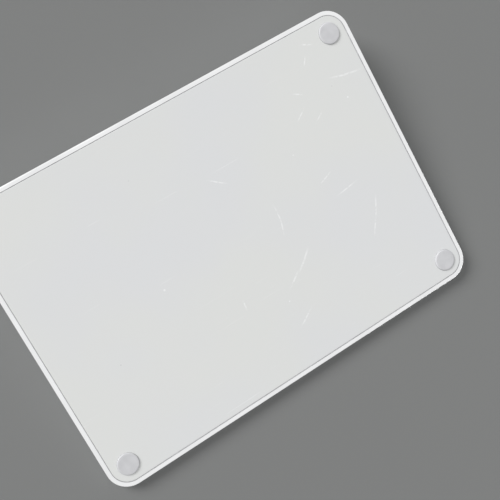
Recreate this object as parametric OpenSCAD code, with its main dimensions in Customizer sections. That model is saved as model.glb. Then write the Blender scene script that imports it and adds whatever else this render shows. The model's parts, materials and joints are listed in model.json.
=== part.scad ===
// Wedge-shaped desk trackpad. Millimetres, +Z up, thin edge to the front (-Y).
// The origin is the middle of the footprint, on the plane that the feet stand on.

/* [Wedge] */
// Width, left to right
pad_w = 160; // [150:1:180]
// Depth, front to rear
pad_d = 114.9; // [112:0.1:125]
// Height of the touch surface at the front edge
front_h = 4.9; // [4.8:0.1:5.6]
// Height of the touch surface at the rear edge
rear_h = 10.9; // [10.6:0.1:12]
// Radius of the four upright corners
corner_r = 8.5; // [7:0.5:11]
// Radius along the lower outside edge
edge_round = 0.5; // [0.2:0.05:0.6]

/* [Enclosure] */
// Thickness of the side walls
wall_t = 1.6; // [1.4:0.1:2]
// Thickness of the floor between the panel and the inside
floor_t = 0.7; // [0.6:0.05:0.8]
// Width of the bare rim round the bottom panel
rim_w = 1.6; // [1.2:0.1:1.8]
// Open seam between the rim and the bottom panel
seam_w = 0.25; // [0.15:0.05:0.4]

/* [Bottom panel and feet] */
// Thickness of the bottom panel
panel_t = 0.9; // [0.7:0.05:1]
// Thickness of the adhesive film above the panel
panel_glue_t = 0.1; // [0.05:0.05:0.15]
// Width of the adhesive film's frame
film_w = 5; // [3:0.5:6]
// Diameter of a foot
foot_d = 8.2; // [6:0.1:10]
// Height that a foot stands below the panel
foot_proud = 0.6; // [0.4:0.05:0.7]
// Depth of the pocket that a foot sits in
foot_pocket = 0.4; // [0.2:0.05:0.5]
// Distance from the edges to a foot's centre
foot_inset = 8.4; // [8:0.1:12]

/* [Touch surface] */
// Thickness of the cover glass
glass_t = 1; // [0.8:0.05:1.05]
// Gap between the glass and the top of the walls
glass_gap = 0.3; // [0.25:0.05:0.4]
// Set-back of the glass edge from the walls
glass_inset = 0.1; // [0:0.05:0.3]
// Thickness of the electrode board
sensor_t = 0.8; // [0.6:0.05:0.85]
// Set-back of the electrode board from the outline
sensor_inset = 5; // [4:0.5:8]
// Thickness of the steel stiffener
stiffener_t = 0.4; // [0.3:0.05:0.45]
// Width of the stiffener
stiffener_w = 128; // [126:1:130]
// Depth of the stiffener
stiffener_d = 98; // [96:1:102]
// Width and depth of a lightening window in the stiffener
window_size = [26, 30];
// Distances between the windows' middles
window_pitch = [68, 44];
// Corner radius of a window
window_r = 3; // [1:0.5:6]

/* [Force sensing] */
// Distance from the middle to each gel pad, sideways
pad_x = 56; // [54:0.5:57]
// Distance from the middle to each gel pad, front to rear
pad_y = 42; // [40:0.5:43]
// Diameter of a gel pad
gel_d = 9; // [7:0.5:9.5]
// Thickness of a gel pad
gel_t = 0.4; // [0.4:0.05:0.45]
// Thickness of a flexure tongue
flexure_t = 0.3; // [0.2:0.05:0.35]
// Width of a flexure tongue
flexure_w = 10; // [9.5:0.5:12]
// Width of a tongue's bending neck
flexure_neck = 6; // [4:0.5:7]
// Distance from a gel pad to the screws that hold its tongue
flexure_reach = 14; // [13:0.5:15]
// Distance between the two screws of a tongue
flexure_pitch = 6; // [5:0.5:6.5]
// Length and width of a strain gauge
gauge_size = [3, 2.4];
// Thickness of a strain gauge
gauge_t = 0.1; // [0.05:0.05:0.1]
// Width of the gauges' flat cables
ribbon_w = 4; // [2:0.5:4.5]

/* [Electromagnet] */
// Width and depth of the bracket
bracket_size = [44, 22];
// Thickness of the bracket
bracket_t = 0.5; // [0.4:0.05:0.6]
// Gap from the bracket to the cell's front edge
magnet_gap = 5; // [3:0.5:7]
// Thickness of the core
core_t = 1.2; // [1:0.1:1.3]
// Width of the core's back bar
core_back_w = 4; // [3:0.5:5]
// Length of the core's poles
pole_len = 20; // [16:1:22]
// Width of the outer poles
pole_w = 3; // [2:0.5:3.5]
// Width of the middle pole
pole_mid_w = 4; // [3:0.5:4.5]
// Distance from the middle pole's centre to an outer pole's centre
pole_pitch = 6.5; // [6:0.25:7]
// Build-up of the winding beside the middle pole
winding_side = 1.5; // [1:0.1:1.6]
// Build-up of the winding above and below the middle pole
winding_over = 0.25; // [0.2:0.05:0.3]
// Gap between the poles and the plate that they pull
air_gap = 0.6; // [0.4:0.05:0.8]
// Thickness of the pulled plate
pull_t = 1.5; // [1:0.1:2]
// Length of the pulled plate's seat under the stiffener
pull_seat = 12; // [8:1:13]

/* [Battery] */
// Width, depth and height of the cell
cell_size = [96, 26, 3.3];
// Gap from the cell to the main board's front edge
cell_gap = 4.05; // [3.55:0.25:4.3]
// Thickness of the adhesive under the cell
cell_glue_t = 0.1; // [0.05:0.05:0.15]
// Width and depth of an adhesive strip under the cell
strip_size = [12, 18];
// Distance between the adhesive strips
strip_pitch = 32; // [20:1:36]
// Width, depth and thickness of the protection board
guard_size = [20, 3, 0.8];
// Distance from the main board's left end to the protection board's middle
guard_offset = 10; // [8:1:12]
// Width of the battery's flat lead
lead_w = 6; // [4:1:7]

/* [Main board] */
// Width of the main board
board_w = 80; // [78:1:84]
// Depth of the main board
board_d = 14; // [13.5:0.5:14.5]
// Thickness of the main board
board_t = 0.8; // [0.6:0.1:1]
// Corner radius of the main board
board_r = 1; // [0.5:0.25:2]
// Middle of the main board, left to right
board_x = 10; // [8:1:12]
// Gap from the rear wall to the main board
board_gap = 1.8; // [1.5:0.1:2]
// Height of the main board above the floor
board_lift = 1; // [0.9:0.1:1.2]
// Distance from the board's edges to its screws
board_screw_inset = 3; // [2.5:0.25:3]
// Width, depth and height of the shield can
shield_size = [14, 9, 1.4];
// Thickness of the shield can
shield_t = 0.2; // [0.15:0.05:0.3]
// Width, depth and height of the radio chip
radio_size = [6, 6, 0.9];
// Width, depth and height of the processor
processor_size = [4, 4, 0.8];
// Width, depth and height of the charging chip
charger_size = [3, 3, 0.7];
// Width, depth and height of the chip antenna
antenna_size = [7, 2, 1.2];
// Width, depth and height of the cable connectors
connector_size = [12, 2.4, 1];
// Thickness of the flat cables
flex_t = 0.15; // [0.1:0.05:0.2]
// Width of the touch board's flat cable
touch_flex_w = 10; // [6:1:11]
// Radius of the flat cable's fold
flex_fold_r = 1.1; // [0.9:0.05:1.15]

/* [Socket and switch] */
// Width of the socket's mouth
socket_w = 8.34; // [8:0.02:8.6]
// Height of the socket's mouth
socket_h = 2.56; // [2.4:0.02:2.7]
// Length of the socket
socket_len = 7.3; // [6.5:0.1:8]
// Thickness of the socket's shell
socket_t = 0.3; // [0.2:0.05:0.4]
// Width, height and length of the contact tongue
tongue_size = [6.7, 0.7, 4.5];
// Set-back of the socket's mouth from the rear face
socket_setback = 0.4; // [0.2:0.05:0.6]
// Distance from the main board's right end to the switch's middle
switch_offset = 12; // [11:0.5:14]
// Width of the switch's slider
slider_w = 3.6; // [3:0.1:4]
// Height of the switch's slider
slider_h = 1.6; // [1.2:0.1:1.8]
// Width of the grip grooves on the slider
groove_w = 0.35; // [0.2:0.05:0.4]
// Travel of the switch
switch_travel = 2; // [1.5:0.1:2.4]
// Set-back of the slider from the rear face
slider_setback = 0.35; // [0.3:0.05:0.5]
// Width, depth and height of the switch's housing
switch_size = [9.4, 4.2, 3];
// Depth of the slider's channel in the housing
channel_d = 1.6; // [1.2:0.1:2]

/* [Screws] */
// Diameter of a screw's shank
screw_d = 1.1; // [0.9:0.05:1.2]
// Diameter of a screw's head
screw_head_d = 2.6; // [2.2:0.1:2.8]
// Height of a screw's head
screw_head_h = 0.35; // [0.3:0.05:0.4]
// Diameter of a screw boss
boss_d = 4; // [3.6:0.1:4.2]
// Clearance round a shank
screw_clear = 0.05; // [0.04:0.01:0.1]

/* [Hidden] */
$fn = 64;
// Running clearance round the switch's slider and other loose fits
run_clear = 0.3;
// Clearance of pieces that are slipped over each other
slip_clear = 0.05;
// Overlap that lets a cut pass clear through a face
cut = 1;
// Room in a pilot hole below the screw's tip
tip_clear = 0.05;
// Length of a screw's thread in the metal
screw_grip = 0.55;
// Margin from the panel's edge to its adhesive film
film_margin = 1;

tilt = atan((rear_h - front_h) / pad_d);
slope_d = pad_d / cos(tilt);
under_z = foot_proud;
panel_top_z = under_z + panel_t;
film_inset = rim_w + seam_w + film_margin;
floor_z = panel_top_z + panel_glue_t;
inside_z = floor_z + floor_t;
rear_wall_y = pad_d / 2 - wall_t;

// Depths below the touch surface, square to it
sensor_depth = glass_t;
stiffener_depth = sensor_depth + sensor_t;
gel_depth = stiffener_depth + stiffener_t;
flexure_depth = gel_depth + gel_t;
boss_depth = flexure_depth + flexure_t;

anchor_x = pad_x + flexure_reach;
gauge_x = pad_x + flexure_reach / 2;

board_rear_y = rear_wall_y - board_gap;
board_front_y = board_rear_y - board_d;
board_y = (board_rear_y + board_front_y) / 2;

cell_y = board_front_y - cell_gap - cell_size[1] / 2;
magnet_y = cell_y - cell_size[1] / 2 - magnet_gap - bracket_size[1] / 2;
guard_x = board_x - board_w / 2 + guard_offset;
switch_x = board_x + board_w / 2 - switch_offset;

bracket_top = inside_z + bracket_t;
core_back_x = -bracket_size[0] / 2 + core_back_w;
pole_tip_x = core_back_x + core_back_w + pole_len;
pole_mid_z = bracket_top + core_t / 2;
winding_len = pole_len - core_back_w;
winding_x = core_back_x + core_back_w + pole_len / 2;
core_d = 2 * pole_pitch + pole_w;

cell_z = inside_z + cell_glue_t;
cell_rear_y = cell_y + cell_size[1] / 2;

board_z = inside_z + board_lift;
board_top = board_z + board_t;
board_screw_x = board_w / 2 - board_screw_inset;
board_screw_y = board_d / 2 - board_screw_inset;

connector_lip = 1;
connector_y = board_front_y + connector_size[1];
// Distance from the switch to the shield can, and from there to the charging chip
chip_pitch = 12;
// Places along the main board, left to right
touch_flex_x = 12;
shield_x = switch_x - chip_pitch;
processor_x = -10;
charger_x = shield_x - chip_pitch;
antenna_x = -18;

shell_w = socket_w + 2 * socket_t;
shell_h = socket_h + 2 * socket_t;
mouth_w = shell_w + 2 * run_clear;
mouth_h = shell_h + 2 * run_clear;
socket_z = board_top + shell_h / 2;
socket_mouth_y = pad_d / 2 - socket_setback;
socket_rear_y = socket_mouth_y - socket_len;

slider_z = board_top + switch_size[2] / 2;
switch_rear_y = rear_wall_y - run_clear;
slot_w = slider_w + switch_travel + 2 * run_clear;
slot_h = slider_h + 2 * run_clear;
slider_front_y = switch_rear_y - channel_d + run_clear;
slider_rest_x = switch_x - switch_travel / 2;

// A rectangle with round corners, centred
module rounded_rect(w, d, r) {
    square([w - 2 * r, d], center = true);
    square([w, d - 2 * r], center = true);
    for (sx = [-1, 1], sy = [-1, 1])
        translate([sx * (w / 2 - r), sy * (d / 2 - r)]) circle(r);
}

// The pad's outline, set back from its edges
module outline(setback) {
    rounded_rect(pad_w - 2 * setback, pad_d - 2 * setback, corner_r - setback);
}

// Half of a section with a round lower corner, from the turning axis out to the face
module turned_section(r, h) {
    square([r - edge_round, h]);
    translate([0, edge_round]) square([r, h - edge_round]);
    translate([r - edge_round, edge_round]) circle(edge_round);
}

// A whole section with two round lower corners
module straight_section(w, h) {
    translate([-w / 2 + edge_round, 0]) square([w - 2 * edge_round, h]);
    translate([-w / 2, edge_round]) square([w, h - edge_round]);
    for (s = [-1, 1])
        translate([s * (w / 2 - edge_round), edge_round]) circle(edge_round);
}

// The upright block that the enclosure is milled from, with its lower edge rounded
module outer_block(h) {
    for (sx = [-1, 1], sy = [-1, 1])
        translate([sx * (pad_w / 2 - corner_r), sy * (pad_d / 2 - corner_r), 0])
            rotate_extrude() turned_section(corner_r, h);
    rotate([90, 0, 0]) linear_extrude(pad_d - 2 * corner_r, center = true) straight_section(pad_w, h);
    rotate([90, 0, 90]) linear_extrude(pad_w - 2 * corner_r, center = true) straight_section(pad_d, h);
}

// Moves to the middle of the touch surface, at a depth below it and square to it
module at_depth(depth) {
    translate([0, -pad_d / 2, front_h])
        rotate([tilt, 0, 0])
            translate([0, slope_d / 2, -depth]) children();
}

// A sheet that lies parallel to the touch surface, its upper face at a depth
module sheet(depth, t) {
    at_depth(depth + t) linear_extrude(t) children();
}

// All the space below a plane that lies parallel to the touch surface
module space_below(depth) {
    at_depth(depth) translate([-pad_w, -pad_d, -2 * rear_h]) cube([2 * pad_w, 2 * pad_d, 2 * rear_h]);
}

// All the space above a level plane
module space_above(z) {
    translate([-pad_w, -pad_d, z]) cube([2 * pad_w, 2 * pad_d, 2 * rear_h]);
}

// A block on a level plane, centred in plan
module block(size, x, y, z) {
    translate([x - size[0] / 2, y - size[1] / 2, z]) cube(size);
}

// A shape at each flexure of the rows given: -1 is the front row, 1 is the rear row
module at_pads(rows) {
    for (sx = [-1, 1], sy = rows)
        translate([0, sy * pad_y]) one_side(sx) children();
}

// Keeps a shape on the right, or mirrors it to the left
module one_side(sx) {
    if (sx < 0) mirror([1, 0, 0]) children();
    else children();
}

// The two screw places of a flexure, in its own plane
module at_anchor() {
    for (s = [-1, 1]) translate([anchor_x, s * flexure_pitch / 2]) children();
}

// The four screw places of the main board
module at_board_screws() {
    for (sx = [-1, 1], sy = [-1, 1])
        translate([board_x + sx * board_screw_x, board_y + sy * board_screw_y]) children();
}

// The four screw places of the electromagnet's bracket
module at_bracket_screws() {
    for (sx = [-1, 1], sy = [-1, 1])
        translate([sx * (bracket_size[0] - boss_d) / 2, magnet_y + sy * (bracket_size[1] - boss_d) / 2])
            children();
}

// A flat-headed screw, its head's underside at z = 0
module screw(reach) {
    cylinder(d = screw_head_d, h = screw_head_h);
    translate([0, 0, -reach]) cylinder(d = screw_d, h = reach + screw_head_h / 2);
}

// A slot with round corners through the rear wall
module wall_slot(x, z, w, h, r) {
    translate([x, pad_d / 2 + cut, z])
        rotate([90, 0, 0]) linear_extrude(wall_t + 2 * cut) rounded_rect(w, h, r);
}

// The aluminium wedge: rim, walls, floor, bosses, socket and switch slots
module enclosure() {
    pilot_d = screw_d + 2 * screw_clear;
    color("silver") difference() {
        union() {
            difference() {
                intersection() {
                    translate([0, 0, under_z]) outer_block(rear_h);
                    space_below(glass_t + glass_gap);
                }
                translate([0, 0, inside_z]) linear_extrude(rear_h) outline(wall_t);
                translate([0, 0, under_z - cut]) linear_extrude(floor_z - under_z + cut) outline(rim_w);
            }
            intersection() {
                at_depth(boss_depth + rear_h)
                    at_pads([-1, 1]) at_anchor() cylinder(d = boss_d, h = rear_h);
                space_above(floor_z + floor_t / 2);
            }
            at_board_screws() translate([0, 0, inside_z - floor_t / 2])
                cylinder(d = boss_d, h = board_lift + floor_t / 2);
        }
        at_depth(boss_depth + screw_grip + tip_clear)
            at_pads([-1, 1]) at_anchor() cylinder(d = pilot_d, h = screw_grip + 2 * tip_clear);
        at_board_screws() translate([0, 0, board_z - screw_grip - tip_clear])
            cylinder(d = pilot_d, h = screw_grip + 2 * tip_clear);
        at_bracket_screws() translate([0, 0, inside_z - screw_grip - tip_clear])
            cylinder(d = pilot_d, h = screw_grip + 2 * tip_clear);
        wall_slot(0, socket_z, mouth_w, mouth_h, mouth_h / 2 - slip_clear);
        wall_slot(switch_x, slider_z, slot_w, slot_h, 2 * run_clear);
    }
}

// The white panel let into the underside, with a pocket for each foot
module bottom_panel() {
    color("whitesmoke") difference() {
        translate([0, 0, under_z]) linear_extrude(panel_t) outline(rim_w + seam_w);
        at_feet() translate([0, 0, under_z - cut])
            cylinder(d = foot_d + 2 * slip_clear, h = foot_pocket + cut);
    }
}

// The adhesive film between the panel and the enclosure's floor
module panel_adhesive() {
    color("gold") translate([0, 0, panel_top_z]) linear_extrude(panel_glue_t) difference() {
        outline(film_inset);
        outline(film_inset + film_w);
    }
}

// The four places of the feet
module at_feet() {
    for (sx = [-1, 1], sy = [-1, 1])
        translate([sx * (pad_w / 2 - foot_inset), sy * (pad_d / 2 - foot_inset), 0]) children();
}

// The round feet, with a soft lower edge
module rubber_feet() {
    foot_edge = foot_proud / 2;
    color("lightgray") at_feet() rotate_extrude() {
        square([foot_d / 2 - foot_edge, foot_proud + foot_pocket]);
        translate([0, foot_edge]) square([foot_d / 2, foot_proud + foot_pocket - foot_edge]);
        translate([foot_d / 2 - foot_edge, foot_edge]) circle(foot_edge);
    }
}

// The touch surface, edge to edge over the walls
module cover_glass() {
    color("white") intersection() {
        linear_extrude(2 * rear_h) outline(glass_inset);
        at_depth(glass_t) translate([-pad_w, -pad_d, 0]) cube([2 * pad_w, 2 * pad_d, glass_t]);
    }
}

// The electrode board bonded under the glass
module touch_sensor_board() {
    color("darkgreen") sheet(sensor_depth, sensor_t)
        rounded_rect(pad_w - 2 * sensor_inset, pad_d - 2 * sensor_inset, corner_r / 2);
}

// The steel plate under the electrode board, with lightening windows
module stiffener_plate() {
    color("gainsboro") sheet(stiffener_depth, stiffener_t) difference() {
        rounded_rect(stiffener_w, stiffener_d, corner_r / 2);
        for (sx = [-1, 1], sy = [-1, 1])
            translate([sx * window_pitch[0] / 2, sy * window_pitch[1] / 2])
                rounded_rect(window_size[0], window_size[1], window_r);
    }
}

// The flanged plate under the stiffener that the electromagnet pulls
module attraction_plate() {
    face_x = pole_tip_x + air_gap;
    flange_z = bracket_top + run_clear;
    color("dimgray") union() {
        intersection() {
            block([pull_t, core_d, rear_h], face_x + pull_t / 2, magnet_y, flange_z);
            space_below(gel_depth);
        }
        intersection() {
            block([pull_seat, core_d, rear_h], face_x + pull_seat / 2, magnet_y, flange_z);
            sheet(gel_depth, gel_t) square([pad_w, pad_d], center = true);
        }
    }
}

// One spring tongue in its own plane, on the right side
module tongue_outline() {
    heel_x = anchor_x + boss_d / 2;
    difference() {
        union() {
            translate([pad_x, 0]) circle(d = flexure_w);
            translate([pad_x, -flexure_neck / 2]) square([flexure_reach, flexure_neck]);
            translate([heel_x - boss_d, -flexure_w / 2]) square([boss_d, flexure_w]);
        }
        at_anchor() circle(d = screw_d + 2 * screw_clear);
    }
}

// The two tongues at the front
module front_flexures() {
    color("lightsteelblue") sheet(flexure_depth, flexure_t) at_pads([-1]) tongue_outline();
}

// The two tongues at the rear
module rear_flexures() {
    color("lightsteelblue") sheet(flexure_depth, flexure_t) at_pads([1]) tongue_outline();
}

// The screws that hold the tongues
module flexure_screws() {
    color("gray") at_depth(flexure_depth) at_pads([-1, 1]) at_anchor() screw(flexure_t + screw_grip);
}

// The gauges that read how far the tongues bend
module strain_gauges() {
    color("orange") sheet(flexure_depth - gauge_t, gauge_t)
        at_pads([-1, 1]) translate([gauge_x, 0]) square(gauge_size, center = true);
}

// The gauges' flat cables, along the floor to the ends of the main board
module sensor_flexes() {
    run_front = -pad_y;
    run_rear = board_front_y + ribbon_w;
    color("peru") for (sx = [-1, 1]) translate([0, 0, inside_z]) linear_extrude(flex_t) one_side(sx) {
        board_end = board_w / 2 + sx * board_x;
        translate([gauge_x - ribbon_w / 2, run_front]) square([ribbon_w, run_rear - run_front]);
        translate([board_end, run_rear - ribbon_w]) square([gauge_x - board_end, ribbon_w]);
    }
}

// The soft pads between the tongues and the stiffener
module gel_pads() {
    color("lightblue") sheet(gel_depth, gel_t) at_pads([-1, 1]) translate([pad_x, 0]) circle(d = gel_d);
}

// The bracket that carries the electromagnet, open under the winding
module actuator_bracket() {
    window_d = pole_mid_w + 2 * winding_side + 4 * slip_clear + 2 * run_clear;
    color("slategray") translate([0, 0, inside_z]) linear_extrude(bracket_t) difference() {
        translate([0, magnet_y]) rounded_rect(bracket_size[0], bracket_size[1], boss_d / 2);
        translate([winding_x, magnet_y]) square([winding_len + 2 * run_clear, window_d], center = true);
        at_bracket_screws() circle(d = screw_d + 2 * screw_clear);
    }
}

// The three-legged laminated core
module actuator_core() {
    color("darkgray") translate([0, 0, bracket_top]) linear_extrude(core_t) {
        translate([core_back_x, magnet_y - core_d / 2]) square([core_back_w, core_d]);
        for (s = [-1, 1])
            translate([core_back_x, magnet_y + s * pole_pitch - pole_w / 2])
                square([core_back_w + pole_len, pole_w]);
        translate([core_back_x, magnet_y - pole_mid_w / 2]) square([core_back_w + pole_len, pole_mid_w]);
    }
}

// The winding round the middle leg
module actuator_coils() {
    inner_w = pole_mid_w + 2 * slip_clear;
    inner_h = core_t + 2 * slip_clear;
    color("chocolate") translate([winding_x - winding_len / 2, magnet_y, pole_mid_z])
        rotate([90, 0, 90]) linear_extrude(winding_len) difference() {
            rounded_rect(inner_w + 2 * winding_side, inner_h + 2 * winding_over, winding_over * 2);
            square([inner_w, inner_h], center = true);
        }
}

// The screws that hold the bracket to the floor
module actuator_screws() {
    color("gray") at_bracket_screws() translate([0, 0, bracket_top]) screw(bracket_t + screw_grip);
}

// The flat rechargeable cell
module battery_cell() {
    cell_edge = cell_size[2] / 3;
    color("dimgray") translate([0, cell_y, cell_z + cell_size[2] / 2])
        rotate([90, 0, 90]) linear_extrude(cell_size[0], center = true)
            rounded_rect(cell_size[1], cell_size[2], cell_edge);
}

// The adhesive strips under the cell
module battery_adhesive() {
    color("gold") for (s = [-1, 0, 1])
        block([strip_size[0], strip_size[1], cell_glue_t], s * strip_pitch, cell_y, inside_z);
}

// The cell's protection board, against its rear edge
module battery_board() {
    color("seagreen") block(guard_size, guard_x, cell_rear_y + guard_size[1] / 2, inside_z);
}

// The flat lead from the protection board to its connector
module battery_lead() {
    guard_top = inside_z + guard_size[2];
    rise_y = cell_rear_y + guard_size[1] - flex_t;
    lead_top = board_top + connector_size[2];
    color("peru") translate([guard_x - lead_w / 2, 0, 0]) {
        translate([0, cell_rear_y + guard_size[1] / 2, guard_top]) cube([lead_w, guard_size[1] / 2, flex_t]);
        translate([0, rise_y, guard_top]) cube([lead_w, flex_t, lead_top + flex_t - guard_top]);
        translate([0, rise_y, lead_top]) cube([lead_w, connector_y - rise_y, flex_t]);
    }
}

// The main circuit board, on its four bosses
module main_board() {
    color("darkgreen") translate([0, 0, board_z]) linear_extrude(board_t) difference() {
        translate([board_x, board_y]) rounded_rect(board_w, board_d, board_r);
        at_board_screws() circle(d = screw_d + 2 * screw_clear);
    }
}

// The screws that hold the main board
module board_screws() {
    color("gray") at_board_screws() translate([0, 0, board_top]) screw(board_t + screw_grip);
}

// The processor, radio and charging chips
module board_chips() {
    color("black") {
        block(radio_size, shield_x, board_y, board_top);
        block(processor_size, processor_x, board_y, board_top);
        block(charger_size, charger_x, board_y, board_top);
    }
}

// The pressed cover over the radio chip
module shield_can() {
    color("silver") difference() {
        block(shield_size, shield_x, board_y, board_top);
        block(shield_size - shield_t * [2, 2, 1], shield_x, board_y, board_top - slip_clear);
    }
}

// The board's connectors for the touch board's cable and the battery's lead
module flex_connectors() {
    color("black") {
        block(connector_size, touch_flex_x, connector_y, board_top);
        block([lead_w + connector_lip, connector_size[1], connector_size[2]],
              guard_x, connector_y, board_top);
    }
}

// The folded flat cable between the main board and the touch board
module touch_flex() {
    low_z = board_top + connector_size[2];
    run = connector_size[1] / 2;
    color("peru") translate([touch_flex_x, connector_y - run, low_z]) {
        translate([-touch_flex_w / 2, 0, 0]) cube([touch_flex_w, 2 * run, flex_t]);
        translate([-touch_flex_w / 2, 0, 2 * flex_fold_r]) cube([touch_flex_w, 3 * run, flex_t]);
        intersection() {
            translate([0, 0, flex_fold_r + flex_t / 2]) rotate([0, 90, 0]) difference() {
                cylinder(r = flex_fold_r + flex_t / 2, h = touch_flex_w, center = true);
                cylinder(r = flex_fold_r - flex_t / 2, h = touch_flex_w + cut, center = true);
            }
            translate([-touch_flex_w, -3 * flex_fold_r, -cut])
                cube([2 * touch_flex_w, 3 * flex_fold_r, 4 * flex_fold_r]);
        }
    }
}

// The radio's chip antenna, on the main board
module antenna() {
    color("wheat") block(antenna_size, antenna_x, board_rear_y - antenna_size[1], board_top);
}

// The socket's shell, its mouth set back in the rear wall
module charge_port() {
    color("silver") translate([0, socket_mouth_y, socket_z]) rotate([90, 0, 0]) linear_extrude(socket_len)
        difference() {
            rounded_rect(shell_w, shell_h, shell_h / 2 - slip_clear);
            rounded_rect(socket_w, socket_h, socket_h / 2 - slip_clear);
        }
}

// The socket's contact tongue and the block that closes its inner end
module port_tongue() {
    plug_end = socket_len - tongue_size[2] - 2 * socket_setback;
    color("black") {
        translate([0, socket_rear_y + plug_end, socket_z]) rotate([90, 0, 0]) linear_extrude(plug_end)
            rounded_rect(socket_w - 2 * slip_clear, socket_h - 2 * slip_clear, socket_h / 2 - 2 * slip_clear);
        translate([-tongue_size[0] / 2, socket_rear_y + plug_end - cut, socket_z - tongue_size[1] / 2])
            cube([tongue_size[0], tongue_size[2] + cut, tongue_size[1]]);
    }
}

// The switch's body, on the main board, with a channel for the slider
module switch_housing() {
    color("black") difference() {
        block(switch_size, switch_x, switch_rear_y - switch_size[1] / 2, board_top);
        block([slot_w, 2 * channel_d, slot_h], switch_x, switch_rear_y, slider_z - slot_h / 2);
    }
}

// The switch's slider, with grip grooves on its outer face
module switch_slider() {
    slider_d = pad_d / 2 - slider_setback - slider_front_y;
    groove = [groove_w, groove_w, slider_h + cut];
    color("whitesmoke") difference() {
        block([slider_w, slider_d, slider_h],
              slider_rest_x, slider_front_y + slider_d / 2, slider_z - slider_h / 2);
        for (i = [-1, 0, 1])
            block(groove, slider_rest_x + i * slider_w / 4, slider_front_y + slider_d,
                  slider_z - groove[2] / 2);
    }
}

enclosure();
bottom_panel();
panel_adhesive();
rubber_feet();
cover_glass();
touch_sensor_board();
stiffener_plate();
attraction_plate();
front_flexures();
rear_flexures();
flexure_screws();
strain_gauges();
sensor_flexes();
gel_pads();
actuator_bracket();
actuator_core();
actuator_coils();
actuator_screws();
battery_cell();
battery_adhesive();
battery_board();
battery_lead();
main_board();
board_screws();
board_chips();
shield_can();
flex_connectors();
touch_flex();
antenna();
charge_port();
port_tongue();
switch_housing();
switch_slider();
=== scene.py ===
# %% [markdown]
# # A wedge-shaped desk trackpad, seen from below
# The solids of the trackpad are already built and packed. This lesson dresses them: it sets the camera that
# looks up at the white underside, builds the pieces whose soft edges catch the light, and gives every
# surface a finish made of shader nodes. Nothing here moves or resizes a solid.

# %% Load the solids
import json
import math

import bpy
import bmesh
from mathutils import Matrix, Vector


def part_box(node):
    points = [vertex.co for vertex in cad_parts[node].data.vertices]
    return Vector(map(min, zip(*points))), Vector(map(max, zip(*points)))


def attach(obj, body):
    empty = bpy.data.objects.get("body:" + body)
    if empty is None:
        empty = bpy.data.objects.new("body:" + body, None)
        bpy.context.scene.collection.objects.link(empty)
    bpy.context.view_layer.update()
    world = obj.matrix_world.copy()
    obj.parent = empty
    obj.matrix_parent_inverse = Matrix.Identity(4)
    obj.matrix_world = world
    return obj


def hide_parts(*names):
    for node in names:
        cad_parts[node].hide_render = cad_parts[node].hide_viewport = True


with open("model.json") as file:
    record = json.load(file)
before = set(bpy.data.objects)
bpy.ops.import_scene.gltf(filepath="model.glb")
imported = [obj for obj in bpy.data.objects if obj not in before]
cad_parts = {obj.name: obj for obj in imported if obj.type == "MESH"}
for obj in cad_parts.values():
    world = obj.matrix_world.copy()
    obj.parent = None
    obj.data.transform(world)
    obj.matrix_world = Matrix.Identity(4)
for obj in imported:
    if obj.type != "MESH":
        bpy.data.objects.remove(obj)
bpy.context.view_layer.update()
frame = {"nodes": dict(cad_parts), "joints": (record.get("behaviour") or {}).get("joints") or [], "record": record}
nodes = frame["nodes"]
scene = bpy.context.scene
scene.view_settings.view_transform = "Standard"
MM = 0.001
print("solids loaded:", len(nodes))

# %% [markdown]
# ## The camera
# The photograph looks almost straight at the underside, turned so that the long side climbs to the upper
# right. Fitting the outline and the feet to the real size of the pad gave the camera's place, its viewing
# direction and its focal length. The part stands on its feet, so this camera looks up from below the floor.

# %% Camera
CAMERA_PLACE = Vector((63.5, 50.2, -308.7)) * MM
CAMERA_FORWARD = Vector((-0.21365, -0.17344, 0.96139))
CAMERA_UP = Vector((-0.50576, 0.86160, 0.04304))
SENSOR = 36.0
FOCAL_SHARE = 876.8 / 500.0

camera_data = bpy.data.cameras.new("underside_camera")
camera_data.sensor_width = SENSOR
camera_data.lens = FOCAL_SHARE * SENSOR
camera_data.clip_start = 0.01
camera = bpy.data.objects.new("underside_camera", camera_data)
scene.collection.objects.link(camera)
view_back = -CAMERA_FORWARD.normalized()
view_right = CAMERA_UP.cross(view_back).normalized()
view_up = view_back.cross(view_right)
turn = Matrix((view_right, view_up, view_back)).transposed().to_4x4()
camera.matrix_world = Matrix.Translation(CAMERA_PLACE) @ turn
scene.camera = camera
print("lens", round(camera_data.lens, 2), "mm")

# %% [markdown]
# ## Measures taken from the solids
# The pieces below repeat the solids' own outlines, so their sizes come from the solids' boxes. The slope of
# the touch surface comes from the joint that presses it, because that joint moves square to the glass.

# %% Measures
CORNER_R = 8.5 * MM
shell_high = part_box("enclosure")[1]
panel_low, panel_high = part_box("bottom_panel")
glass_low, glass_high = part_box("cover_glass")
feet_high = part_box("rubber_feet")[1]
press = next(j for j in frame["joints"] if j["name"] == "surface_press")
SLOPE = press["axis"][1] / -press["axis"][2]
foot_places = [Vector(m["pos_m"]) for m in frame["record"]["mounts"] if m["name"].startswith("foot_")]
foot_r = feet_high.x - max(p.x for p in foot_places)


def surface_z(y):
    """Height of the touch surface at a distance from front to rear."""
    return glass_high.z - (glass_high.y - y) * SLOPE


print("foot radius", round(foot_r / MM, 2), "mm, slope", round(math.degrees(math.atan(SLOPE)), 2), "degrees")

# %% [markdown]
# ## Rings and lofts
# A plate with round corners and a soft edge is a stack of rings. Each ring is the same outline, set back a
# little further and a little lower, and the loft joins each ring to the next with quads. A bevel modifier
# could round the edge too, but rings put every vertex exactly where the solid's faces are.

# %% Loft helpers
ARC_STEPS = 16
EDGE_STEPS = 5


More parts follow.
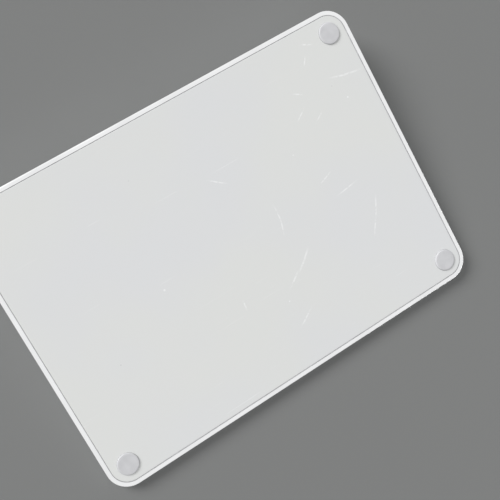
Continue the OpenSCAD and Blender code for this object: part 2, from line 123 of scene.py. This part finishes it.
def rounded_outline(half_w, half_d, r, steps=ARC_STEPS):
    """Points of a rectangle with round corners, counter-clockwise."""
    points = []
    for corner, (sx, sy) in enumerate(((1, 1), (-1, 1), (-1, -1), (1, -1))):
        for i in range(steps + 1):
            a = (corner + i / steps) * math.pi / 2
            points.append((sx * (half_w - r) + r * math.cos(a), sy * (half_d - r) + r * math.sin(a)))
    return points


def soft_edge(radius, steps=EDGE_STEPS):
    """Pairs of set-back and drop round a quarter circle, from the side face to the flat face."""
    pairs = []
    for i in range(steps + 1):
        a = i / steps * math.pi / 2
        pairs.append((radius * (1 - math.cos(a)), radius * (1 - math.sin(a))))
    return pairs


def loft(name, rings, material, hoop=False):
    """Joins rings of equal length into one closed mesh with smooth sides.

    A hoop joins its last ring to its first and has no end faces.
    """
    mesh = bpy.data.meshes.new(name)
    bm = bmesh.new()
    loops = [[bm.verts.new(p) for p in ring] for ring in rings]
    count = len(loops[0])
    follow = loops[1:] + loops[:1] if hoop else loops[1:]
    for low, high in zip(loops, follow):
        for i in range(count):
            j = (i + 1) % count
            bm.faces.new((low[i], low[j], high[j], high[i]))
    if not hoop:
        bm.faces.new(reversed(loops[0]))
        bm.faces.new(loops[-1])
    bmesh.ops.recalc_face_normals(bm, faces=bm.faces)
    for face in bm.faces:
        face.smooth = len(face.verts) == 4
    bm.to_mesh(mesh)
    bm.free()
    piece = bpy.data.objects.new(name, mesh)
    scene.collection.objects.link(piece)
    piece.data.materials.append(material)
    return piece


print("outline points per ring:", len(rounded_outline(1, 1, 0.1)))

# %% [markdown]
# ## Node helpers
# Every finish starts from one Principled shader. The helpers add a noise at a size given in millimetres, a
# colour that wanders between two shades, a roughness that wanders with it, and a fine bump.

# %% Node helpers
def new_finish(name, roughness, metallic=0.0):
    """A material with one Principled shader. Returns the material, its tree and the shader."""
    material = bpy.data.materials.new(name)
    material.use_nodes = True
    tree = material.node_tree
    shader = tree.nodes["Principled BSDF"]
    shader.inputs["Roughness"].default_value = roughness
    shader.inputs["Metallic"].default_value = metallic
    return material, tree, shader


def place(tree):
    """The coordinates of a point in the part's own frame."""
    return tree.nodes.new("ShaderNodeTexCoord").outputs["Object"]


def noise(tree, size_mm, detail=3.0, stretch=(1, 1, 1), turn_deg=0.0):
    """A noise whose features are about size_mm across, stretched along its own axes."""
    mapping = tree.nodes.new("ShaderNodeMapping")
    mapping.inputs["Rotation"].default_value = (0, 0, math.radians(turn_deg))
    mapping.inputs["Scale"].default_value = [s / (size_mm * MM) for s in stretch]
    texture = tree.nodes.new("ShaderNodeTexNoise")
    texture.inputs["Scale"].default_value = 1.0
    texture.inputs["Detail"].default_value = detail
    tree.links.new(place(tree), mapping.inputs["Vector"])
    tree.links.new(mapping.outputs["Vector"], texture.inputs["Vector"])
    return texture.outputs["Fac"]


def remap(tree, value, low, high, to_low=0.0, to_high=1.0):
    """Stretches a range of a value to another range, clamped and eased."""
    node = tree.nodes.new("ShaderNodeMapRange")
    node.interpolation_type = "SMOOTHSTEP"
    for key, number in (("From Min", low), ("From Max", high), ("To Min", to_low), ("To Max", to_high)):
        node.inputs[key].default_value = number
    tree.links.new(value, node.inputs["Value"])
    return node.outputs["Result"]


def math_node(tree, operation, a, b):
    """One Math node. Each input is a socket or a number."""
    node = tree.nodes.new("ShaderNodeMath")
    node.operation = operation
    for socket, value in zip(node.inputs, (a, b)):
        if isinstance(value, (int, float)):
            socket.default_value = value
        else:
            tree.links.new(value, socket)
    return node.outputs[0]


def mix_colour(tree, factor, a, b):
    """Mixes two colours by a factor. Each colour is a socket or three numbers."""
    node = tree.nodes.new("ShaderNodeMix")
    node.data_type = "RGBA"
    tree.links.new(factor, node.inputs["Factor"])
    for socket, colour in ((node.inputs[6], a), (node.inputs[7], b)):
        if isinstance(colour, tuple):
            socket.default_value = (*colour, 1.0)
        else:
            tree.links.new(colour, socket)
    return node.outputs[2]


def bump(tree, shader, height, depth_mm, strength=1.0):
    """Lays a height over the shader's normal."""
    node = tree.nodes.new("ShaderNodeBump")
    node.inputs["Strength"].default_value = strength
    node.inputs["Distance"].default_value = depth_mm * MM
    tree.links.new(height, node.inputs["Height"])
    tree.links.new(node.outputs["Normal"], shader.inputs["Normal"])


def wandering_finish(name, shades, rough, size_mm, grain_mm, grain_depth_mm, metallic=0.0,
                     stretch=(1, 1, 1)):
    """A finish whose colour and roughness wander between two values, with a fine grain."""
    material, tree, shader = new_finish(name, rough[0], metallic)
    cloud = noise(tree, size_mm, stretch=stretch)
    even = remap(tree, cloud, 0.3, 0.7)
    tree.links.new(mix_colour(tree, even, *shades), shader.inputs["Base Color"])
    tree.links.new(remap(tree, cloud, 0.3, 0.7, *rough), shader.inputs["Roughness"])
    bump(tree, shader, noise(tree, grain_mm, detail=2.0, stretch=stretch), grain_depth_mm)
    return material


print("node helpers ready")

# %% [markdown]
# ## The white panel's finish
# The underside is white moulded plastic with a satin face. Its white drifts very slightly from place to
# place, and years of sliding over desks left pale hairlines, a few longer curved scratches and some specks.
# Each long scratch is a short arc: a point lies on it when its distance from the arc's centre is close to
# the arc's radius and it is near the arc's middle. That is cheaper than modelling grooves, and the marks
# stay where they are from every side.

# %% White panel
WHITE_COOL = (0.735, 0.745, 0.755)
WHITE_WARM = (0.745, 0.755, 0.742)
SCUFF_WHITE = (0.95, 0.955, 0.96)
SPECK_GREY = (0.52, 0.52, 0.53)
SCUFF_SHARE = 0.6
HAIR_SHARE = 0.5
SOOT_SHARE = 0.7
WORN_ROUGHER = 0.15
SATIN = (0.38, 0.46)
GRAIN_DEPTH_MM = 0.004
# Direction in degrees, and the noise level at which a hairline starts to show
HAIRLINES = ((28, 0.70), (-52, 0.71), (75, 0.72))
HAIR_EASE = 0.06
# Middle x and y, direction in degrees, length, bend radius and width, in millimetres
SCRATCHES = [
    (-70.0, 32.9, 12, 16.0, 60, 0.50),
    (-49.5, 35.2, 30, 5.0, 90, 0.35),
    (-58.0, 44.5, -55, 4.5, 50, 0.35),
    (-61.5, 49.5, 25, 6.0, 80, 0.40),
    (-47.0, 28.0, -35, 7.0, 70, 0.35),
    (-53.0, 24.0, -30, 5.0, 60, 0.35),
    (-20.8, -2.0, -80, 15.0, 26, 0.40),
    (-21.5, -19.5, -40, 12.0, 60, 0.55),
    (-14.5, -24.0, -35, 9.0, 50, 0.45),
    (-56.5, -16.5, -62, 11.0, 90, 0.45),
    (-52.5, -23.0, -58, 8.0, 90, 0.40),
    (6.5, -22.5, -84, 5.5, 120, 0.40),
    (-6.8, 22.0, 38, 9.0, 90, 0.35),
    (-44.0, 3.0, -20, 8.0, 60, 0.35),
    (-12.0, -38.5, -32, 10.0, 70, 0.45),
    (-50.0, -4.5, -8, 12.0, 140, 0.35),
]
# Middle x and y and radius, in millimetres
PALE_SPECKS = [(-66.7, 25.1, 0.50), (29.3, -2.0, 0.55), (-37.0, 16.5, 0.35), (-9.0, -30.0, 0.4)]
DARK_SPECKS = [(56.0, -17.0, 0.30), (-63.0, 31.6, 0.25), (21.0, 38.0, 0.22)]


def flat_distance(tree, x, y):
    """Distance in the panel's plane from a point given in millimetres."""
    level = tree.nodes.new("ShaderNodeVectorMath")
    level.operation = "MULTIPLY"
    level.inputs[1].default_value = (1, 1, 0)
    away = tree.nodes.new("ShaderNodeVectorMath")
    away.operation = "DISTANCE"
    away.inputs[1].default_value = (x * MM, y * MM, 0)
    tree.links.new(place(tree), level.inputs[0])
    tree.links.new(level.outputs[0], away.inputs[0])
    return away.outputs["Value"]


def scratch_mask(tree, x, y, direction, length, bend, width):
    """1 along a short arc through a point, easing to 0 beside it and towards its ends."""
    a = math.radians(direction + 90)
    off_arc = flat_distance(tree, x + bend * math.cos(a), y + bend * math.sin(a))
    off_arc = math_node(tree, "ABSOLUTE", math_node(tree, "SUBTRACT", off_arc, bend * MM), 0)
    beside = remap(tree, off_arc, width * MM * 0.2, width * MM, 1, 0)
    along = remap(tree, flat_distance(tree, x, y), length * MM * 0.1, length * MM * 0.5, 1, 0)
    return math_node(tree, "MULTIPLY", beside, along)


def together(tree, masks):
    """The largest of several masks."""
    total = masks[0]
    for mask in masks[1:]:
        total = math_node(tree, "MAXIMUM", total, mask)
    return total


def speck_mask(tree, x, y, r):
    """1 in the middle of a round speck, easing to 0 at its radius."""
    return remap(tree, flat_distance(tree, x, y), r * MM * 0.4, r * MM, 1, 0)


def white_panel_finish():
    """Satin white plastic with its scratches, hairlines and specks."""
    material, tree, shader = new_finish("white_panel", 0.42)
    drift = remap(tree, noise(tree, 60, detail=2.0), 0.35, 0.65)
    white = mix_colour(tree, drift, WHITE_COOL, WHITE_WARM)
    broken = remap(tree, noise(tree, 0.9, detail=4.0), 0.30, 0.56)
    marks = together(tree, [scratch_mask(tree, *s) for s in SCRATCHES])
    marks = math_node(tree, "MULTIPLY", marks, broken)
    dots = together(tree, [speck_mask(tree, *spot) for spot in PALE_SPECKS])
    hairs = []
    for direction, low in HAIRLINES:
        thin = noise(tree, 3.0, detail=2.0, stretch=(0.12, 7.0, 1.0), turn_deg=direction)
        area = remap(tree, noise(tree, 34, detail=1.0, turn_deg=direction), 0.46, 0.62)
        hairs.append(math_node(tree, "MULTIPLY", remap(tree, thin, low, low + HAIR_EASE), area))
    hairs = math_node(tree, "MULTIPLY", together(tree, hairs), HAIR_SHARE)
    worn = together(tree, [marks, hairs, dots])
    white = mix_colour(tree, math_node(tree, "MULTIPLY", worn, SCUFF_SHARE), white, SCUFF_WHITE)
    soot = together(tree, [speck_mask(tree, *spot) for spot in DARK_SPECKS])
    white = mix_colour(tree, math_node(tree, "MULTIPLY", soot, SOOT_SHARE), white, SPECK_GREY)
    tree.links.new(white, shader.inputs["Base Color"])
    satin = remap(tree, noise(tree, 22, detail=3.0), 0.3, 0.7, *SATIN)
    rough = math_node(tree, "ADD", satin, math_node(tree, "MULTIPLY", worn, WORN_ROUGHER))
    tree.links.new(rough, shader.inputs["Roughness"])
    grain = noise(tree, 0.35, detail=2.0)
    bump(tree, shader, math_node(tree, "SUBTRACT", grain, worn), GRAIN_DEPTH_MM)
    return material


white_panel = white_panel_finish()
print("scratches drawn:", len(SCRATCHES))

# %% [markdown]
# ## Metal, rubber and glass
# The frame is aluminium, blasted to a fine satin and anodised, so its grain is far smaller than a
# millimetre and its gloss is broad. The feet are matte grey rubber with a slight mould texture. The touch
# surface is glass with a white backing, finely etched so that a finger slides on it.

# %% Main finishes
aluminium = wandering_finish("anodised_aluminium", ((0.86, 0.865, 0.87), (0.90, 0.905, 0.91)), (0.28, 0.36),
                             18, 0.12, 0.003, metallic=1.0)
foot_rubber = wandering_finish("foot_rubber", ((0.585, 0.588, 0.605), (0.640, 0.643, 0.660)), (0.62, 0.74),
                               3.5, 0.20, 0.010)
white_glass = wandering_finish("white_glass", ((0.775, 0.785, 0.790), (0.790, 0.800, 0.803)), (0.20, 0.26),
                               45, 0.10, 0.0006)
white_glass.node_tree.nodes["Principled BSDF"].inputs["Coat Weight"].default_value = 0.25
white_glass.node_tree.nodes["Principled BSDF"].inputs["Coat Roughness"].default_value = 0.15
print("main finishes: aluminium, rubber, glass")

# %% [markdown]
# ## Finishes of the pieces inside
# The boards, cell, cables and screws sit between the glass and the panel. They are hidden here, but someone
# who takes the part apart will see them, so each gets its own finish at its own scale.

# %% Inner finishes
inner_finishes = {
    "circuit_board": wandering_finish("circuit_board", ((0.020, 0.12, 0.05), (0.035, 0.17, 0.075)),
                                      (0.30, 0.42), 2.5, 0.4, 0.01),
    "steel": wandering_finish("rolled_steel", ((0.55, 0.56, 0.57), (0.64, 0.65, 0.66)), (0.26, 0.40),
                              1.2, 0.3, 0.004, metallic=1.0, stretch=(0.1, 4, 1)),
    "screw_steel": wandering_finish("screw_steel", ((0.40, 0.40, 0.41), (0.50, 0.50, 0.51)), (0.25, 0.38),
                                    0.6, 0.15, 0.004, metallic=1.0),
    "flex_film": wandering_finish("flex_film", ((0.40, 0.17, 0.03), (0.52, 0.24, 0.06)), (0.28, 0.40),
                                  1.5, 0.5, 0.005),
    "gel": wandering_finish("gel", ((0.52, 0.62, 0.70), (0.60, 0.70, 0.76)), (0.18, 0.30), 2.0, 0.6, 0.01),
    "adhesive": wandering_finish("adhesive", ((0.66, 0.58, 0.36), (0.74, 0.66, 0.46)), (0.45, 0.60),
                                 2.0, 0.5, 0.01),
    "copper_wire": wandering_finish("copper_wire", ((0.55, 0.20, 0.07), (0.70, 0.32, 0.14)), (0.22, 0.36),
                                    0.8, 0.12, 0.03, metallic=1.0, stretch=(4, 0.3, 0.3)),
    "cell_wrap": wandering_finish("cell_wrap", ((0.040, 0.040, 0.050), (0.070, 0.070, 0.080)), (0.35, 0.50),
                                  6.0, 0.8, 0.02),
    "black_plastic": wandering_finish("black_plastic", ((0.015, 0.015, 0.016), (0.030, 0.030, 0.032)),
                                      (0.40, 0.55), 1.5, 0.2, 0.006),
    "ceramic": wandering_finish("ceramic", ((0.68, 0.64, 0.54), (0.75, 0.71, 0.62)), (0.45, 0.60),
                                0.9, 0.2, 0.006),
    "socket_steel": wandering_finish("socket_steel", ((0.60, 0.60, 0.62), (0.70, 0.70, 0.72)), (0.20, 0.32),
                                     0.9, 0.15, 0.002, metallic=1.0),
    "slider_plastic": wandering_finish("slider_plastic", ((0.70, 0.71, 0.71), (0.76, 0.77, 0.77)),
                                       (0.38, 0.48), 1.0, 0.15, 0.003),
}
slot_finishes = dict(inner_finishes, anodised_aluminium=aluminium, white_panel=white_panel,
                     foot_rubber=foot_rubber, white_glass=white_glass)
for part in frame["record"]["subparts"]:
    solid = nodes[part["node"]]
    solid.data.materials.clear()
    solid.data.materials.append(slot_finishes[part["material_slot"]])

# %% [markdown]
# ## The panel, with a softened edge and foot pockets
# The real panel is moulded, so its edge is slightly round, and that roundness draws the fine light line
# beside the dark seam. The loft runs from the inner face down the side and round the edge to the flat
# underside. Four round pockets are then cut for the feet with a boolean, the same size as in the solid.

# %% Panel
PANEL_EDGE = 0.22 * MM
POCKET_DEPTH = 0.4 * MM
POCKET_CLEAR = 0.05 * MM
FOOT_STEPS = 64
panel_half = ((panel_high.x - panel_low.x) / 2, (panel_high.y - panel_low.y) / 2)
panel_r = CORNER_R - (shell_high.x - panel_high.x)


def level_ring(setback, z, half, r):
    """A rounded rectangle at one height, set back from its edges."""
    return [(x, y, z) for x, y in rounded_outline(half[0] - setback, half[1] - setback, r - setback)]


panel_rings = [level_ring(0, panel_high.z, panel_half, panel_r)]
for inward, drop in soft_edge(PANEL_EDGE):
    panel_rings.append(level_ring(inward, panel_low.z + drop, panel_half, panel_r))
panel = loft("panel_shell", panel_rings, white_panel)


def circle_ring(spot, r, z):
    """A level circle round a foot's place."""
    angles = [2 * math.pi * i / FOOT_STEPS for i in range(FOOT_STEPS)]
    return [(spot.x + r * math.cos(a), spot.y + r * math.sin(a), z) for a in angles]


def pocket_cutter(spot):
    """A closed cylinder that cuts one foot's pocket."""
    r = foot_r + POCKET_CLEAR
    heights = (panel_low.z - POCKET_DEPTH, panel_low.z + POCKET_DEPTH)
    return loft("pocket", [circle_ring(spot, r, z) for z in heights], white_panel)


cutters = [pocket_cutter(spot) for spot in foot_places]
for cutter in cutters:
    cut = panel.modifiers.new("pocket", "BOOLEAN")
    cut.operation = "DIFFERENCE"
    cut.solver = "EXACT"
    cut.object = cutter
bpy.context.view_layer.update()
depsgraph = bpy.context.evaluated_depsgraph_get()
cut_mesh = bpy.data.meshes.new_from_object(panel.evaluated_get(depsgraph))
panel.modifiers.clear()
panel.data = cut_mesh
for cutter in cutters:
    bpy.data.objects.remove(cutter)
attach(panel, "base")
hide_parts("bottom_panel")
print("panel faces:", len(panel.data.polygons))

# %% [markdown]
# ## The bead in the seam
# The panel is bonded in, and a little grey adhesive stands in the seam just below the surface. Without it the
# seam would be a black line. A hoop of four rings makes the bead.

# %% Seam bead
SEAM = 0.25 * MM
BEAD_DROP = 0.10 * MM
bead_grey = wandering_finish("bead_grey", ((0.40, 0.40, 0.41), (0.50, 0.50, 0.51)), (0.55, 0.70),
                             4.0, 0.15, 0.006)
bead_rings = [level_ring(setback, z, panel_half, panel_r) for setback, z in (
    (-SEAM, panel_high.z), (-SEAM, panel_low.z + BEAD_DROP), (0, panel_low.z + BEAD_DROP), (0, panel_high.z))]
bead = loft("seam_bead", bead_rings, bead_grey, hoop=True)
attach(bead, "base")
print("bead faces:", len(bead.data.polygons))

# %% [markdown]
# ## The feet
# Each foot is a turned shape: a flat tread with a shallow dish, a soft shoulder and a straight side that goes
# into its pocket. Spinning a short profile gives an even mesh, and all four feet are one piece because they
# are one material on one body.

# %% Feet
SHOULDER = 0.45 * MM
DISH = 0.05 * MM
TREAD_STEPS = 6
foot_top = feet_high.z


def foot_profile():
    """Radius and height from the middle of the tread out and up to the top of the foot."""
    tread_r = foot_r - SHOULDER
    profile = []
    for k in range(1, TREAD_STEPS):
        dished = DISH * math.cos(k / TREAD_STEPS * math.pi / 2) ** 2
        profile.append((tread_r * k / TREAD_STEPS, dished))
    for inward, drop in reversed(soft_edge(SHOULDER)):
        profile.append((foot_r - inward, drop))
    profile.append((foot_r, foot_top))
    return profile


foot_parts = []
for spot in foot_places:
    turned = [circle_ring(spot, r, z) for r, z in foot_profile()]
    foot_parts.append(loft("foot", turned, foot_rubber))
feet_mesh = bmesh.new()
for part in foot_parts:
    feet_mesh.from_mesh(part.data)
    bpy.data.objects.remove(part)
feet_data = bpy.data.meshes.new("feet")
feet_mesh.to_mesh(feet_data)
feet_mesh.free()
feet = bpy.data.objects.new("feet", feet_data)
scene.collection.objects.link(feet)
feet.data.materials.append(foot_rubber)
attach(feet, "base")
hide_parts("rubber_feet")
print("feet:", len(foot_places))

# %% [markdown]
# ## The touch surface
# The glass follows the wedge, so each of its rings is shifted up by the slope at every point. Both edges are
# ground to a small radius.

# %% Glass
GLASS_EDGE = 0.25 * MM
glass_half = ((glass_high.x - glass_low.x) / 2, (glass_high.y - glass_low.y) / 2)
glass_r = CORNER_R - (shell_high.x - glass_high.x)
glass_t = surface_z(glass_low.y) - glass_low.z


def sloped_ring(setback, depth):
    """A rounded rectangle parallel to the touch surface, at a depth below it."""
    flat = rounded_outline(glass_half[0] - setback, glass_half[1] - setback, glass_r - setback)
    return [(x, y, surface_z(y) - depth) for x, y in flat]


edge = soft_edge(GLASS_EDGE)
glass_rings = [sloped_ring(inward, glass_t - drop) for inward, drop in reversed(edge)]
glass_rings += [sloped_ring(inward, drop) for inward, drop in edge]
glass = loft("glass_plate", glass_rings, white_glass)
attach(glass, "touch_plate")
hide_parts("cover_glass")
print("glass thickness", round(glass_t / MM, 2), "mm")

# %% [markdown]
# ## The stage
# The part stands on its feet on a pale floor. The photograph shows it turned over, so the main camera looks
# up through that floor, which is only visible from above. Behind the part, as that camera sees it, lies a
# second plain sheet, the desk top. It can only be seen from below, so it hides nothing in the other views.
# Neither sheet blocks or reflects light.

# %% Stage
FLOOR_GREY = (0.62, 0.62, 0.62)
DESK_GREY = (0.205, 0.209, 0.207)
FLOOR_SIZE = 6.0
DESK_SIZE = 1.2
DESK_TILT = math.radians(8)
DESK_CLEAR = 0.3 * MM


def one_sided(name, grey):
    """A plain finish with a faint drift that shows only on the side its normal points to."""
    material, tree, shader = new_finish(name, 0.8)
    cloud = noise(tree, 90, detail=2.0)
    shades = [tuple(g * s for g in grey) for s in (0.985, 1.015)]
    tree.links.new(mix_colour(tree, cloud, *shades), shader.inputs["Base Color"])
    shader.inputs["Specular IOR Level"].default_value = 0.1
    clear = tree.nodes.new("ShaderNodeBsdfTransparent")
    side = tree.nodes.new("ShaderNodeNewGeometry").outputs["Backfacing"]
    choose = tree.nodes.new("ShaderNodeMixShader")
    tree.links.new(side, choose.inputs[0])
    tree.links.new(shader.outputs[0], choose.inputs[1])
    tree.links.new(clear.outputs[0], choose.inputs[2])
    tree.links.new(choose.outputs[0], tree.nodes["Material Output"].inputs["Surface"])
    return material


def stage_sheet(name, size, material, matrix):
    """A square sheet seen only by the camera."""
    mesh = bpy.data.meshes.new(name)
    h = size / 2
    mesh.from_pydata([(-h, -h, 0), (h, -h, 0), (h, h, 0), (-h, h, 0)], [], [(0, 1, 2, 3)])
    mesh.materials.append(material)
    sheet = bpy.data.objects.new(name, mesh)
    scene.collection.objects.link(sheet)
    sheet.matrix_world = matrix
    sheet.visible_diffuse = False
    sheet.visible_glossy = False
    sheet.visible_transmission = False
    sheet.visible_shadow = False


stage_sheet("floor", FLOOR_SIZE, one_sided("floor", FLOOR_GREY), Matrix.Identity(4))
desk_hinge = Vector((0, glass_low.y, surface_z(glass_low.y) + DESK_CLEAR))
face_down = Matrix.Rotation(DESK_TILT + math.pi, 4, "X")
stage_sheet("desk", DESK_SIZE, one_sided("desk", DESK_GREY), Matrix.Translation(desk_hinge) @ face_down)
print("stage: floor and desk")

# %% [markdown]
# ## Light
# Broad daylight over the photographer's left shoulder lights the underside, and a second soft sun above
# lights the touch surface in the other views. A sun lights the floor evenly out to its edge, which an area
# lamp would not, and a wide sun angle keeps its shadows soft. The world fills in evenly. For reflections it
# is pale, with a darker patch overhead that stands for the grey desk.

# %% Suns
def soft_sun(name, towards, strength, spread_deg):
    """A sun that shines from a direction, with soft shadows."""
    data = bpy.data.lights.new(name, "SUN")
    data.energy = strength
    data.angle = math.radians(spread_deg)
    lamp = bpy.data.objects.new(name, data)
    scene.collection.objects.link(lamp)
    lamp.rotation_euler = (-towards).to_track_quat("-Z", "Y").to_euler()


KEY_SIDE, KEY_UP, KEY_BACK = -0.65, 0.40, 0.75
from_below = view_right * KEY_SIDE + view_up * KEY_UP + view_back * KEY_BACK
from_above = Vector((-0.55, -0.45, 0.85))
BELOW_STRENGTH = 2.5
ABOVE_STRENGTH = 1.35
SUN_SPREAD_DEG = 30
soft_sun("daylight_below", from_below, BELOW_STRENGTH, SUN_SPREAD_DEG)
soft_sun("daylight_above", from_above, ABOVE_STRENGTH, SUN_SPREAD_DEG)
print("suns: 2")

# %% World
WORLD_FILL = 0.55
WORLD_BACKDROP = 0.60
ROOM_PALE = 0.95
ROOM_DARK = 0.22
PATCH_EDGE = (0.55, 0.92)
world = bpy.data.worlds.new("pale_room")
world.use_nodes = True
scene.world = world
room = world.node_tree
paths = room.nodes.new("ShaderNodeLightPath")
background = room.nodes["Background"]
background.inputs["Color"].default_value = (1, 1, 1, 1)
upward = room.nodes.new("ShaderNodeSeparateXYZ")
room.links.new(room.nodes.new("ShaderNodeTexCoord").outputs["Generated"], upward.inputs[0])
reflected = remap(room, upward.outputs["Z"], *PATCH_EDGE, ROOM_PALE, ROOM_DARK)
shiny = math_node(room, "MAXIMUM", paths.outputs["Is Glossy Ray"], paths.outputs["Is Transmission Ray"])
strength = math_node(room, "MULTIPLY", shiny, math_node(room, "SUBTRACT", reflected, WORLD_FILL))
backdrop = math_node(room, "MULTIPLY", paths.outputs["Is Camera Ray"], WORLD_BACKDROP - WORLD_FILL)
strength = math_node(room, "ADD", math_node(room, "ADD", strength, WORLD_FILL), backdrop)
room.links.new(strength, background.inputs["Strength"])
print("world fill", WORLD_FILL)

# %% [markdown]
# ## End of the dressing
# The dressed part must stay inside the box of its solids.


print("dressing done")
